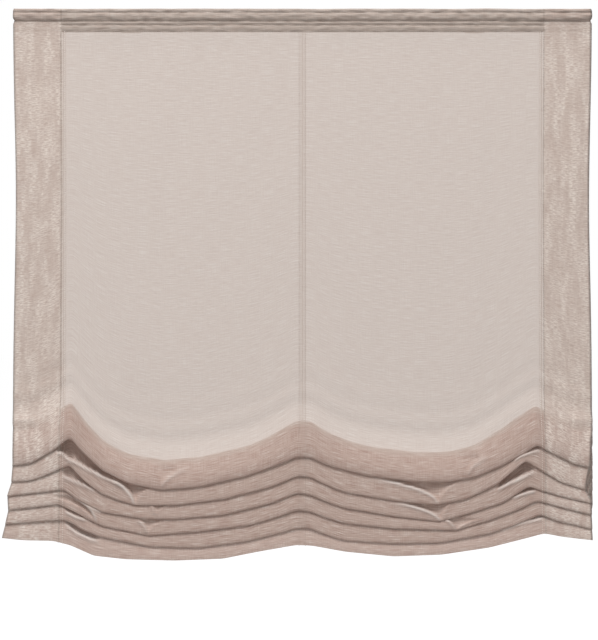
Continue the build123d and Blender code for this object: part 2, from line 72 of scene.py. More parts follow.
# Lower edge of each fold from the top fold to the hem: places (across, below the top edge)
FOLD_EDGES = (
    ((-500, 786), (-467, 782), (-426, 763), (-398, 741), (-377, 763), (-343, 793), (-301, 815), (-241, 827),
     (-177, 822), (-94, 803), (-39, 784), (-11, 775), (13, 775), (44, 786), (113, 803), (196, 813),
     (251, 813), (296, 805), (341, 786), (379, 765), (402, 750), (424, 762), (465, 782), (500, 789)),
    ((-500, 813), (-467, 812), (-426, 800), (-398, 788), (-377, 810), (-343, 834), (-315, 845), (-286, 853),
     (-218, 853), (-136, 843), (-53, 822), (-11, 808), (13, 809), (72, 831), (155, 845), (229, 852),
     (279, 843), (334, 817), (365, 791), (383, 777), (400, 788), (445, 815), (500, 827)),
    ((-500, 838), (-467, 834), (-408, 828), (-384, 845), (-343, 865), (-274, 876), (-218, 877), (-136, 870),
     (-53, 850), (-11, 838), (16, 841), (72, 858), (155, 872), (234, 881), (279, 869), (341, 850), (388, 821),
     (410, 829), (445, 839), (500, 850)),
    ((-500, 862), (-467, 858), (-417, 855), (-384, 869), (-343, 889), (-263, 905), (-177, 898), (-94, 888),
     (-53, 877), (-11, 867), (16, 870), (72, 884), (155, 893), (263, 896), (320, 879), (362, 864), (402, 846),
     (445, 858), (500, 870)),
    ((-500, 886), (-467, 883), (-421, 879), (-404, 879), (-390, 886), (-381, 893), (-368, 899), (-343, 908),
     (-260, 924), (-177, 926), (-94, 915), (-53, 905), (-11, 898), (13, 898), (72, 914), (155, 919),
     (237, 917), (320, 902), (362, 888), (408, 865), (445, 881), (500, 895)),
    ((-500, 910), (-467, 914), (-426, 915), (-398, 922), (-357, 940), (-301, 946), (-218, 948), (-136, 945),
     (-80, 934), (-11, 922), (16, 923), (72, 933), (155, 941), (237, 938), (320, 926), (376, 912), (414, 902),
     (445, 908), (500, 914)),
)
FOLDS = len(FOLD_EDGES) - 1
EDGE_ROUNDING = 3.6
DEPTH_ROUNDING = 24.0
RING_PULL = 34.0

# How far the folds stand forward and how high their back legs climb: places (across, size)
FOLD_DEPTHS = ((-500, 28), (-414, 28), (-219, 33), (0, 28), (219, 33), (414, 28), (500, 28))
BACK_RISES = (
    (-500, 66), (-414, 62), (-385, 52), (-360, 44), (-330, 44), (-219, 46), (-70, 46), (0, 62), (70, 46),
    (219, 45), (286, 47), (308, 50), (330, 55), (352, 60), (374, 64), (396, 64), (414, 62), (500, 66),
)
FIRST_LEAN = 34.0
EDGE_CURL = 4.0
TURN_WIDTH = 4.2
CREST_WIDTH = 2.6
LEGS_APART = 1.5
BELLY = 1.25
SHEET_MIDDLE = 0.45
LAYER_GAP = 1.3

# The dip of the panel along the crest of the first fold: places (across, depth)
DIPS = (
    (-500, 0), (-412, 0), (-385, 3.5), (-330, 4.5), (-270, 2.5), (-200, 1.2), (-60, 1), (0, 0), (60, 1),
    (200, 1.2), (300, 2), (350, 3), (390, 2.5), (412, 0), (500, 0),
)
DIP_HEIGHT = 8.0
DIP_ROUNDING = 10.0
# Tucks of the side hems above the folds: from, to, below the top edge, depth
TUCKS = ((-522, -448, 717, 3.2), (450, 522, 716, 3.0))
TUCK_HEIGHT = 5.0
TUCK_END = 22.0

# Dents where a fold's cloth is pinched in: fold, place of the lowest point (across, below the top edge),
# width to its left and right at the mouth, height, depth, width of the steep lip, and the side of that lip
LEFT, RIGHT = -1, 1
DENTS = (
    (0, (-242, 822), 12, 30, 26, 5, 5, RIGHT),
    (0, (282, 801), 15, 24, 26, 5, 5, RIGHT),
    (1, (-286, 853), 24, 31, 35, 12, 3.6, LEFT),
    (1, (232, 849), 62, 26, 32, 12, 3, LEFT),
    (2, (-250, 870), 8, 26, 20, 3, 7, LEFT),
    (2, (237, 881), 44, 9, 25, 10, 3, LEFT),
    (3, (-357, 882), 46, -26, 34, 9, 4, RIGHT),
    (3, (-264, 901), 9, 20, 18, 5, 5, LEFT),
    (3, (263, 897), 10, 28, 16, 5, 4, LEFT),
)
# A dent's sides sweep out to its mouth. It ends and fades above that, at shares of its height
DENT_SWEEP = 2.0
DENT_END = 1.4
DENT_FADE = 0.4
DENT_ROOT = 0.3
DENT_SLOPE = 0.5
FIRST_MOUTH = 1.0
CREASE = 2.0
# Beside its lip the cloth swells into a rim, and the lip gets a painted highlight
RIM_WIDTH = 3.2
RIM_HEIGHT = 2.3
RIM_PLACE = 0.5
FAR_RIM = 0.5
LIP_WIDTH = 2.4
LIP_PLACE = 0.4
LIT_DEPTH = 13.0

# Hollows beside the ring lines, where a fold lies back under the one above it: fold, depth and lower border
# as places (across, below the top edge)
HOLLOWS = (
    (1, 19, ((-424, 762), (-412, 764), (-399, 776), (-390, 779), (-368, 791), (-346, 802), (-324, 812),
             (-298, 822))),
    (1, 9, ((359, 778), (373, 769), (394, 761), (410, 758))),
    (2, 8, ((-413, 802), (-399, 809), (-371, 820), (-353, 829))),
    (2, 14, ((331, 828), (359, 813), (385, 801), (399, 794))),
    (3, 8, ((-371, 851), (-357, 859), (-342, 864))),
    (3, 10, ((356, 841), (373, 835), (387, 831), (403, 827))),
    (4, 5, ((-410, 862), (-388, 873), (-368, 879))),
    (5, 12, ((-410, 884), (-396, 893), (-388, 900), (-364, 911), (-346, 914))),
    (5, 10, ((335, 895), (359, 888), (391, 879), (415, 875))),
)
HOLLOW_LIP = 4.0
HOLLOW_END = 9.0
HOLLOW_SPREAD = 0.5
HOLLOW_HEIGHT = 50.0
HOLLOW_FADE = 20.0
HOLLOW_RIM_PLACE = 0.6
# Share of the painted highlight at a hollow's lip
HOLLOW_LIT = 0.7

# Header and hems
HEADER_EDGE = 6.0
HEADER_STITCHES = (20.7, 27.0, 38.5)
HEADER_PUFF = 3.4
HEADER_BACK = 0.1
HEADER_TURN = 1.2
HEADER_FADE = 40.0
PUCKER = 0.7
PUCKER_SIZE = (13.0, 7.0)
PUCKER_SEED = 5.3
BAND_END = 0.85
HEM_STITCH = 4.0
SIDE_HEM = 85.0
SIDE_HEM_GAP = 0.65
BOTTOM_HEM = 44.0
BOTTOM_HEM_GAP = 0.85
TAPE_GAP = 0.9

# Section of the header: the line that a place is measured from, its drop below that line, how far it stands
# forward as a share of the puff and besides, and how many places of the sheet follow it
TOP_EDGE, PUFF_EDGE, FIRST_STITCH, SECOND_STITCH, LAST_STITCH = range(5)
HEADER_LINES = (0.0, HEADER_EDGE, *HEADER_STITCHES)
HEADER_SECTION = (
    (TOP_EDGE, 0.0, 0.0, HEADER_BACK, 1),
    (TOP_EDGE, -0.4, 0.0, HEADER_BACK, 1),
    (TOP_EDGE, -0.6, 0.5, 0.0, 2),
    (TOP_EDGE, 1.4, 0.8, 0.0, 2),
    (PUFF_EDGE, -2.2, 0.8, 0.0, 2),
    (PUFF_EDGE, 0.0, 0.25, 0.0, 2),
    (PUFF_EDGE, 2.7, 0.95, 0.0, 2),
    (FIRST_STITCH, -7.5, 1.0, 0.0, 2),
    (FIRST_STITCH, -2.7, 0.85, 0.0, 2),
    (FIRST_STITCH, -0.2, 0.0, 0.15, 1),
    (FIRST_STITCH, 0.5, 0.0, 0.15, 2),
    (FIRST_STITCH, 2.3, 0.4, 0.0, 1),
    (SECOND_STITCH, -2.0, 0.4, 0.0, 2),
    (SECOND_STITCH, 0.0, 0.0, 0.15, 1),
    (SECOND_STITCH, 0.6, 0.0, 0.15, 2),
    (SECOND_STITCH, 3.0, 0.45, 0.0, 2),
    (LAST_STITCH, -3.5, 0.45, 0.0, 2),
    (LAST_STITCH, -0.3, 0.0, 0.1, 1),
    (LAST_STITCH, 0.5, 0.0, 0.05, 2),
    (LAST_STITCH, 2.5, 0.0, 0.1, 1),
    (LAST_STITCH, 8.0, 0.0, 0.3, 1),
    (LAST_STITCH, 18.0, 0.0, 0.0, 1),
)
# Section of the panel: where it starts below the header, and how many places follow each of its guide points
PANEL_START = 30.0
PANEL_PLACES = (2, 2, 2, 2, 2, 2, 4, 6)
LEAN_PLACES = 4
# Section of the first fold: shares of its depth and of its height, and the places that follow
FIRST_SECTION = ((0.23, 0.3, 3), (0.52, 0.56, 5), (0.87, 0.80, 6), (0.98, 0.93, 5))
# Section of a lower fold: shares of its height behind the fold above, then below it, and places that follow
LEG_SECTION = ((0.25, 3), (0.5, 3), (0.75, 3), (1.0, 4))
SWELL_SECTION = ((0.4, 5), (0.8, 5))
SWELL_POWER = 1.5
HEM_END = 3.0
# Turn at a fold's lower edge
TURN_START = 2.0
TURN_DROP = 1.2
TURN_INSETS = (0.8, 0.6)
# Crest behind a fold: forward as a share of its width and besides, drop from the crest, places that follow,
# and how many layers behind the front leg it lies
CREST_SECTION = ((1.0, 0.0, 2.5, 1, 1), (0.9, 0.0, -2.6, 2, 1), (0.0, 0.2, -2.6, 1, 2), (0.0, 0.0, 1.6, 1, 2))

# Waist of the sides and the notches beside the header
SIDE_WAIST = 5.0
WAIST_DROP = 330.0
WAIST_REACH = 190.0
WAIST_POWER = 8
NOTCH_DEPTH = 2.4
NOTCH_HEIGHT = 3.0
NOTCH_POWER = 60
TOP_NOTCH = 0.6
TOP_NOTCH_HEIGHT = 5.0
# How far the folds' left ends stand out and their right ends stand in: places (below the top edge, size)
LEFT_FLARE = ((700, 0), (780, -3.6), (815, -1.4), (838, 5.7), (862, 3.9), (886, 9), (912, 15))
FLARE_FROM = 430.0
FLARE_REACH = 70.0
RIGHT_TUCK = ((730, 2), (789, 7.6), (822, 14.5), (834, 12), (848, 5), (914, 3.3))
RIGHT_FROM = 440.0
RIGHT_REACH = 60.0
OUTER_FROM = 8.0
OUTER_REACH = 8.0

# Loose waves of the cloth: sizes (across, down), the crumple's second one in rows of the sheet
RIPPLE = 0.9
WAVE_SIZE = (70.0, 160.0)
WAVE_SEED = 3.1
TOP_WAVE = 1.1
TOP_WAVE_REACH = 60.0
CRUMPLE_SIZE = (22.0, 40.0)
CRUMPLE_SEED = 7.7
PANEL_CRUMPLE = 0.35
FOLD_CRUMPLE = 0.45
FOLDS_START = 640.0
FOLDS_REACH = 60.0
# Drag lines of the panel above the first fold
DRAG_DEPTH = 2.2
DRAG_PITCH = 38.0
DRAG_REACH = 50.0
DRAG_START = 16.0
DRAG_FADE = 20.0
# Where the cloth is gathered, for the painted shade and highlights of its tones
GATHER_FROM = 6.0
GATHER_REACH = 16.0
FIRST_GATHER = 0.92
HEM_GATHER = 0.4

COLUMNS = 275
CLOSER_COLUMNS = 1.2
FINE_STEP = 1.0
FINE_END = HALF_WIDTH + 20
KERNEL_REACH = 3
FINE = np.arange(-FINE_END, FINE_END + FINE_STEP, FINE_STEP)


def smooth(value):
    """0 below 0, 1 above 1 and an even slope between."""
    share = np.clip(value, 0.0, 1.0)
    return share * share * (3 - 2 * share)


def bell(value):
    """1 at 0, falling to nothing on both sides."""
    return np.exp(-(value**2))


def column_places():
    """Places of the cloth's columns, closer together where its folds are pinched."""
    spans = [(across - left, across + max(right, 0)) for _, (across, _), left, right, *_ in DENTS]
    spans += [(border[0][0], border[-1][0]) for _, _, border in HOLLOWS]
    fine = np.linspace(-HALF_WIDTH, HALF_WIDTH, len(FINE))
    pinched = np.max([(fine > first) & (fine < last) for first, last in spans], axis=0)
    count = np.concatenate([[0], (1 + CLOSER_COLUMNS * pinched)[1:].cumsum()])
    return np.interp(np.linspace(0, count[-1], COLUMNS), count, fine)


ACROSS = column_places()


def rounded(points, rounding):
    """A line through places (across, size) at every column, its corners rounded."""
    reach = np.arange(-KERNEL_REACH * rounding, KERNEL_REACH * rounding + FINE_STEP, FINE_STEP)
    kernel = np.exp(-0.5 * (reach / rounding) ** 2)
    line = np.interp(FINE, *zip(*points))
    ends = np.convolve(np.ones(len(FINE)), kernel, mode="same")
    return np.interp(ACROSS, FINE, np.convolve(line, kernel, mode="same") / ends)


def ring_heights(side):
    """Heights of the rings on one tape, from the top."""
    heights = sorted({round(v.co.z / MM, 2) for v in frame["nodes"]["tape_rings_" + side].data.vertices})
    return [(a + b) / 2 for a, b in zip(heights[::2], heights[1::2])][::-1]


def fold_lines():
    """Drop of each fold's lower edge and of the crest behind it at every column, drawn to the rings."""
    rises = rounded(BACK_RISES, DEPTH_ROUNDING)
    edges = [rounded(points, EDGE_ROUNDING) for points in FOLD_EDGES]
    for side, line in RING_LINES.items():
        weight = bell((ACROSS - line) / RING_PULL)
        at = np.argmin(abs(ACROSS - line))
        for fold, height in enumerate(ring_heights(side)[-FOLDS:]):
            edges[fold] = edges[fold] + weight * (CLOTH_TOP - height + rises[at] - edges[fold][at])
    crests = [edge - rises for edge in edges[:FOLDS]]
    return edges, crests


def spline_weights(counts):
    """Weights that turn guide points into a smooth line with counts[k] places after guide point k."""
    rows = []
    for k, count in enumerate(counts):
        for t in np.arange(count) / count:
            row = np.zeros(len(counts))
            shares = ((1 - t) ** 3, 3 * t**3 - 6 * t**2 + 4, 3 * (t + t**2 - t**3) + 1, t**3)
            for shift, share in zip((-1, 0, 1, 2), shares):
                row[min(max(k + shift, 0), len(counts) - 1)] += share / 6
            rows.append(row)
    return np.array(rows)


def section_guides():
    """Guide points (forward, drop) of the cloth's section at every column, how many places follow each of
    them, which layer of the stack each belongs to, and the drop of the first crest. Layers count from the
    front: the front leg of the first fold is 0, its back leg 1, the front leg of the second 2 and so on."""
    edges, crests = fold_lines()
    depth = rounded(FOLD_DEPTHS, DEPTH_ROUNDING)
    none = np.zeros(COLUMNS)
    guides, counts, layers = [], [], []

    def guide(forward, drop, count, layer=0):
        guides.append((none + SHEET_MIDDLE + forward, none + drop))
        counts.append(count)
        layers.append(layer)

    def back_leg(share):
        return CREST_WIDTH + (depth - TURN_WIDTH - CREST_WIDTH) * share**BELLY

    for line, below, share, besides, count in HEADER_SECTION:
        guide(share * HEADER_PUFF + besides, HEADER_LINES[line] + below, count)
    start = crests[0] - FIRST_LEAN
    panel_top = HEADER_STITCHES[-1] + PANEL_START
    for k, count in enumerate(PANEL_PLACES):
        guide(0, panel_top + (start - panel_top) * (k / len(PANEL_PLACES)), count)
    guide(0, start, LEAN_PLACES)
    for fold, edge in enumerate(edges):
        leg = 2 * fold
        front = edge - EDGE_CURL
        if fold == 0:
            for forward, share, count in FIRST_SECTION:
                guide(depth * forward, start + (front - start) * share, count, leg)
        else:
            # A lower fold lies against the back leg of the fold above it and comes forward below its edge
            for share, count in LEG_SECTION:
                guide(back_leg(share) - LEGS_APART, crest + (turn - crest) * share, count, leg)
            for share, count in SWELL_SECTION:
                behind = (TURN_WIDTH + LEGS_APART) * (1 - share) ** SWELL_POWER
                guide(depth - behind, turn + (front - turn) * share, count, leg)
        if fold == FOLDS:
            guide(depth, edge - HEM_END, 2, leg)
            guide(depth, edge, 1, leg)
            guide(depth, edge, 1, leg)
            break
        crest, turn = crests[fold], front
        front_inset, back_inset = TURN_INSETS
        guide(depth, turn + TURN_START, 2, leg)
        guide(depth - front_inset, edge + TURN_DROP, 2, leg)
        guide(depth - TURN_WIDTH + back_inset, edge + TURN_DROP, 2, leg + 1)
        for share, _ in reversed(LEG_SECTION):
            guide(back_leg(share), crest + (turn - crest) * share, 1, leg + 1)
        for share, besides, below, count, behind in CREST_SECTION:
            guide(share * CREST_WIDTH + besides, crest + below, count, leg + behind)
    return np.array(guides), counts, layers, crests[0]


def pressed_in(forward, drop, layers):
    """The sections with every dent and hollow pressed into the front leg of its fold, and their lips' painted
    highlight.
    """
    folds = layers[:, None] / 2
    lips = np.zeros_like(forward)
    for fold, (across, lowest), left, right, height, depth, lip, side in DENTS:
        rise = np.clip((lowest - drop) / height, 0.0, DENT_END)
        mouth = np.minimum(rise, FIRST_MOUTH) if fold == 0 else rise
        from_left = ACROSS - across + CREASE + left * mouth**DENT_SWEEP
        from_right = across - ACROSS + CREASE + right * mouth**DENT_SWEEP
        steep, gentle = (from_left, from_right) if side == LEFT else (from_right, from_left)
        lean = DENT_SWEEP * (left if side == LEFT else right) * mouth ** (DENT_SWEEP - 1) / height
        off_lip = steep / np.sqrt(1 + lean**2)
        fade = (folds == fold) * smooth((DENT_END - rise) / DENT_FADE) * np.minimum(rise, 1.0) ** DENT_ROOT
        slope = np.clip(gentle / (steep + gentle), 0.0, 1.0) ** DENT_SLOPE
        inside = smooth(off_lip / lip) * slope
        rim = bell(off_lip / RIM_WIDTH + RIM_PLACE) + FAR_RIM * bell(gentle / RIM_WIDTH)
        forward = forward - fade * (depth * inside - RIM_HEIGHT * rim)
        lips = np.maximum(lips, fade * bell(off_lip / LIP_WIDTH + LIP_PLACE) * smooth(depth / LIT_DEPTH))
    for fold, depth, border in HOLLOWS:
        first, last = border[0][0], border[-1][0]
        above = np.interp(ACROSS, *zip(*border)) - drop
        reach = HOLLOW_END + HOLLOW_SPREAD * np.clip(above, 0, HOLLOW_HEIGHT)
        ends = (folds == fold) * smooth((ACROSS - first) / reach) * smooth((last - ACROSS) / reach)
        inside = smooth(above / HOLLOW_LIP) * smooth((HOLLOW_HEIGHT - above) / HOLLOW_FADE)
        rim = bell(above / RIM_WIDTH + HOLLOW_RIM_PLACE)
        forward = forward - ends * (depth * inside - RIM_HEIGHT * rim)
        lips = np.maximum(lips, HOLLOW_LIT * ends * bell(above / LIP_WIDTH + LIP_PLACE))
    return forward, lips


def kept_apart(forward, drop, layers):
    """The sections with every layer of the stack clear of the layers in front of it and behind it."""
    rows = [np.flatnonzero(layers == layer) for layer in range(layers.max() + 1)]

    def other_layer(layer, column, places, outside):
        order = rows[layer][np.argsort(drop[rows[layer], column])]
        return np.interp(places, drop[order, column], forward[order, column], left=outside, right=outside)

    for column in range(COLUMNS):
        for layer in range(1, len(rows)):
            places = rows[layer]
            limit = other_layer(layer - 1, column, drop[places, column], np.inf) - LAYER_GAP
            forward[places, column] = np.minimum(forward[places, column], limit)
        forward[:, column] = np.maximum(forward[:, column], SHEET_MIDDLE)
        for layer in range(len(rows) - 2, -1, -1):
            places = rows[layer]
            limit = other_layer(layer + 1, column, drop[places, column], -np.inf) + LAYER_GAP
            forward[places, column] = np.maximum(forward[places, column], limit)
    return forward


def noise_grid(size, downs, seed):
    """Noise with grains of a size at every column of the sheet and every place down it."""
    wide, high = size
    return np.array([[noise.noise((x / wide, down / high, seed)) for x in ACROSS] for down in downs])


def marked_panel(forward, drop, crest, front_layer):
    """The sections with the drag lines and the dip above the first fold and the tucks of the side hems."""
    above = crest - DRAG_START - drop
    drag = np.exp(-np.maximum(above, 0) / DRAG_REACH) * np.cos(2 * np.pi * above / DRAG_PITCH)
    forward = forward + DRAG_DEPTH * drag * smooth(above / DRAG_FADE)
    forward = forward - front_layer * rounded(DIPS, DIP_ROUNDING) * bell((drop - crest) / DIP_HEIGHT)
    for first, last, level, depth in TUCKS:
        span = smooth((ACROSS - first) / TUCK_END) * smooth((last - ACROSS) / TUCK_END)
        below = (drop - level) / TUCK_HEIGHT
        forward = forward - front_layer * depth * span * below * np.exp(0.5 - 0.5 * below**2)
    return forward


def drawn_sides(across, drop, forward):
    """Places across with the sides' waist, the flared and tucked ends of the folds and the notches."""
    side = across / HALF_WIDTH
    waist = np.sign(side) * side**WAIST_POWER * bell((drop - WAIST_DROP) / WAIST_REACH)
    at_left = smooth((-ACROSS - FLARE_FROM) / FLARE_REACH)
    at_right = smooth((ACROSS - RIGHT_FROM) / RIGHT_REACH) * smooth((forward - OUTER_FROM) / OUTER_REACH)
    notch = bell((drop - HEADER_STITCHES[0]) / NOTCH_HEIGHT)
    notch = notch + TOP_NOTCH * (1 - smooth(drop / TOP_NOTCH_HEIGHT))
    across = across - SIDE_WAIST * waist
    across = across - at_left * np.interp(drop, *zip(*LEFT_FLARE))
    across = across - at_right * np.interp(drop, *zip(*RIGHT_TUCK))
    return across - NOTCH_DEPTH * np.sign(side) * np.abs(side) ** NOTCH_POWER * notch


def sheet_points():
    """Places of the cloth's sheet in the frame, their drops and their shares of gathered cloth, of sharp lips
    and of the first fold: rows from the top edge to the hem, columns from left to right."""
    guides, counts, guide_layers, crest = section_guides()
    weights = spline_weights(counts)
    forward = weights @ guides[:, 0]
    drop = weights @ guides[:, 1]
    layers = np.repeat(guide_layers, counts)
    forward, lips = pressed_in(forward, drop, layers)
    forward = kept_apart(forward, drop, layers)
    front_layer = (layers == 0)[:, None]
    below_header = smooth((drop - HEADER_STITCHES[-1]) / HEADER_FADE)
    in_folds = smooth((drop - FOLDS_START) / FOLDS_REACH)
    wave = noise_grid(WAVE_SIZE, drop.mean(1), WAVE_SEED)
    crumple = noise_grid(CRUMPLE_SIZE, range(len(drop)), CRUMPLE_SEED)
    forward = forward + RIPPLE * below_header * (1 - in_folds) * (wave + PANEL_CRUMPLE * crumple)
    forward = forward + RIPPLE * in_folds * FOLD_CRUMPLE * crumple
    forward = marked_panel(forward, drop, crest, front_layer)
    pucker = 1 + (1 - below_header) * PUCKER * noise_grid(PUCKER_SIZE, drop.mean(1), PUCKER_SEED)
    in_side_hem = smooth((abs(ACROSS) - HALF_WIDTH + SIDE_HEM) / HEM_STITCH)
    low_band = smooth((drop - HEADER_STITCHES[0]) / HEADER_TURN) * (1 - below_header)
    puff = pucker * (1 - BAND_END * in_side_hem * low_band)
    forward = SHEET_MIDDLE + (forward - SHEET_MIDDLE) * puff
    first_fold = front_layer * smooth((drop - crest + GATHER_FROM) / GATHER_REACH)
    gathered = np.where(front_layer, FIRST_GATHER * first_fold, 1.0)
    gathered = np.maximum(gathered, HEM_GATHER * in_side_hem)
    shades = np.stack([gathered, lips, first_fold], axis=2)
    drop = drop + (1 - smooth(drop / TOP_WAVE_REACH)) * TOP_WAVE * wave
    across = drawn_sides(np.repeat(ACROSS[None, :], len(drop), 0), drop, forward)
    return np.stack([across, CLOTH_BACK - forward, CLOTH_TOP - drop], axis=2), drop, shades


def facings(points):
    """Direction towards the room at every place of a grid."""
    along = np.gradient(points, axis=0)
    across = np.gradient(points, axis=1)
    normal = np.cross(across, -along)
    return normal / np.maximum(np.linalg.norm(normal, axis=2, keepdims=True), 1e-9)


SHEET, DROPS, SHADES = sheet_points()
FACING = facings(SHEET)
LENGTHS = np.concatenate([[0], np.linalg.norm(np.diff(SHEET, axis=0), axis=2).mean(1).cumsum()])


def column_at(across):
    return int(np.argmin(abs(ACROSS - across)))


def length_at(drop):
    """Length along the cloth at a drop above the folds."""
    return LENGTHS[int(np.argmax(DROPS.mean(1) > drop))]


def mesh_object(name, points, faces=(), edges=()):
    """A new object on a mesh whose places are given in millimetres."""
    mesh = bpy.data.meshes.new(name)
    mesh.from_pydata((np.asarray(points) * MM).tolist(), edges, faces)
    obj = bpy.data.objects.new(name, mesh)
    bpy.context.scene.collection.objects.link(obj)
    return obj


def grid_faces(rows, columns, first=0, turned=False):
    """Four-sided faces of a grid whose places start at index first."""
    faces = []
    for j in range(rows - 1):
        for i in range(columns - 1):
            a = first + j * columns + i
            ring = (a, a + columns, a + columns + 1, a + 1)
            faces.append(ring[::-1] if turned else ring)
    return faces


def cloth_layers():
    """The sheet and its turned hems, as grids: places, flat map, shades, and whether the face looks to the
    wall."""
    flat = np.stack(np.broadcast_arrays(ACROSS[None, :], -LENGTHS[:, None]), axis=2)
    layers = [(SHEET, flat, SHADES, False)]
    hem_columns = column_at(SIDE_HEM - HALF_WIDTH) + 1
    behind = SHEET - FACING * SIDE_HEM_GAP
    far_columns = column_at(HALF_WIDTH - SIDE_HEM)
    for columns in (np.arange(hem_columns), np.arange(far_columns, COLUMNS)):
        layer = behind[:, columns].copy()
        edge = 0 if columns[0] == 0 else -1
        layer[:, edge] = SHEET[:, columns[edge]]
        mirrored = flat[:, columns].copy()
        mirrored[..., 0] = 2 * mirrored[:, edge : edge + 1 or None, 0] - mirrored[..., 0]
        layers.append((layer, mirrored, SHADES[:, columns], True))
    from_hem = LENGTHS[-1] - LENGTHS
    rows = np.arange(int(np.argmax(from_hem < BOTTOM_HEM)), len(LENGTHS))
    layer = SHEET[rows] - FACING[rows] * BOTTOM_HEM_GAP
    layer[-1] = SHEET[-1]
    mirrored = flat[rows].copy()
    mirrored[..., 1] = 2 * mirrored[-1:, :, 1] - mirrored[..., 1]
    layers.append((layer, mirrored, SHADES[rows], True))
    rows = np.arange(int(np.argmax(LENGTHS > length_at(HEADER_STITCHES[-1] + HEADER_TURN))))
    layer = SHEET[rows].copy()
    layer[1:, :, 1] = CLOTH_BACK - HEADER_BACK
    mirrored = flat[rows].copy()
    mirrored[..., 1] *= -1
    layers.append((layer, mirrored, SHADES[rows], True))
    return layers


def sewn_cloth(material):
    """The whole cloth as one piece: sheet, side hems, bottom hem and the turned header."""
    points, faces, maps, shares = [], [], [], []
    for layer, flat, shades, turned in cloth_layers():
        rows, columns = layer.shape[:2]
        faces += grid_faces(rows, columns, len(points), turned)
        points += layer.reshape(-1, 3).tolist()
        maps += flat.reshape(-1, 2).tolist()
        shares += shades.ravel().tolist()
    obj = mesh_object("sewn_cloth", points, faces)
    obj.data.attributes.new("shades", "FLOAT_VECTOR", "POINT").data.foreach_set("vector", shares)
    uv = obj.data.uv_layers.new(name="weave")
    corners = np.array([loop.vertex_index for loop in obj.data.loops])
    uv.data.foreach_set("uv", (np.array(maps)[corners] * MM).ravel())
    join_doubles(obj)
    obj.data.materials.append(material)
    obj.data.shade_smooth()
    return obj


JOIN_REACH = 0.01


def join_doubles(obj):
    """Joins places of a mesh that coincide."""
    mesh = bmesh.new()
    mesh.from_mesh(obj.data)
    bmesh.ops.remove_doubles(mesh, verts=mesh.verts, dist=JOIN_REACH * MM)
    mesh.to_mesh(obj.data)
    mesh.free()


def add(tree, kind, inputs=None, **settings):
    """A new node with its settings, and its inputs set or linked."""
    node = tree.nodes.new(kind)
    for name, value in settings.items():
        setattr(node, name, value)
    for key, value in (inputs or {}).items():
        if isinstance(value, bpy.types.NodeSocket):
            tree.links.new(value, node.inputs[key])
        else:
            node.inputs[key].default_value = value
    return node


def colour(text):
    """Linear colour of an sRGB hex value."""
    parts = [int(text[i : i + 2], 16) / 255 for i in (1, 3, 5)]
    return tuple(c / 12.92 if c <= 0.04045 else ((c + 0.055) / 1.055) ** 2.4 for c in parts) + (1.0,)


def new_material(name):
    material = bpy.data.materials.new(name)
    material.use_nodes = True
    tree = material.node_tree
    tree.nodes.clear()
    return material, tree


def finish_material(tree, shader):
    add(tree, "ShaderNodeOutputMaterial", {"Surface": shader})


def stretched_noise(tree, coordinates, size, detail=3.0):
    """Noise whose grains have a size (x, y, z) in millimetres."""
    scale = tuple(1 / (s * MM) for s in size)
    place = add(tree, "ShaderNodeMapping", {"Vector": coordinates, "Scale": scale}).outputs[0]
    return add(tree, "ShaderNodeTexNoise", {"Vector": place, "Scale": 1.0, "Detail": detail}).outputs[0]


def ramp(tree, value, stops):
    """Hex colours or grey levels at places from 0 to 1."""
    node = add(tree, "ShaderNodeValToRGB", {"Fac": value})
    elements = node.color_ramp.elements
    while len(elements) < len(stops):
        elements.new(1.0)
    for element, (place, shade) in zip(elements, stops):
        element.position = place
        element.color = colour(shade) if isinstance(shade, str) else (shade, shade, shade, 1.0)
    return node.outputs[0]


def from_line(tree, place, line=0.0):
    """Distance of a place from a line."""
    off = add(tree, "ShaderNodeMath", {0: place, 1: line}, operation="SUBTRACT").outputs[0]
    return add(tree, "ShaderNodeMath", {0: off}, operation="ABSOLUTE").outputs[0]


# Sheer slub cloth: a thin open polyester weave. Thick and thin weft threads give streaks along the width, and
# light comes through between the threads and through the threads themselves. Grains have a size and a detail
SLUBS = ((24.0, 1.1, 1.0), 4.0)
WARPS = ((1.1, 30.0, 1.0), 3.0)
WARP_SHARE = 0.22
# The real threads are 0.4 mm apart; they are drawn coarser so that the weave still shows
THREADS = ((3.2, 3.2, 1.0), 1.0)
THREAD_HEIGHT = 0.25
CRINKLES = ((9.0, 6.0, 1.0), 2.0)
CRINKLE_HEIGHT = 1.4
WEAVE_BUMP = 0.35
WEAVE_HEIGHT = 0.6
# The flat panel is even; gathered cloth has a deeper tone of painted shade and slubs with painted highlights
FLAT_TONES = ((0.34, "#C9B5A9"), (0.5, "#D0BFB4"), (0.66, "#DBCFC6"))
FOLD_PAINTED_TONES = ((0.36, "#BC9F93"), (0.5, "#CFB7AB"), (0.58, "#DAC6BB"), (0.68, "#F0E6DE"))
# The first fold lies over the crests behind it and gets painted shade; pinched lips get painted highlights
FIRST_FOLD_SHADE = "#F2F0F0"
LIP_HIGHLIGHT = "#FBF6F0"
LIP_LIGHT = 0.66
# Tones change over this width at the borders of the hems and the header
TONE_BORDER = 1.0
# Two layers of slubs in the side hems give patches of light dashes; a third at their edge, a thin painted
# shade line
HEM_PATCHES = ((16.0, 70.0, 1.0), 3.0)
PATCH_LEVELS = ((0.4, 0.3), (0.6, 0.9))
HEM_DASHES = ((7.0, 1.6, 1.0), 2.0)
DASH_LEVELS = ((0.42, 0.15), (0.6, 1.0))
HEM_TONE = "#F7ECE2"
HEM_INNER_EDGE = HALF_WIDTH - SIDE_HEM
HEM_EDGE = 1.6
HEM_EDGE_CORE = 0.4
HEM_EDGE_SHADE = 0.4
HEM_EDGE_PAINTED_SHADE = "#9C887C"
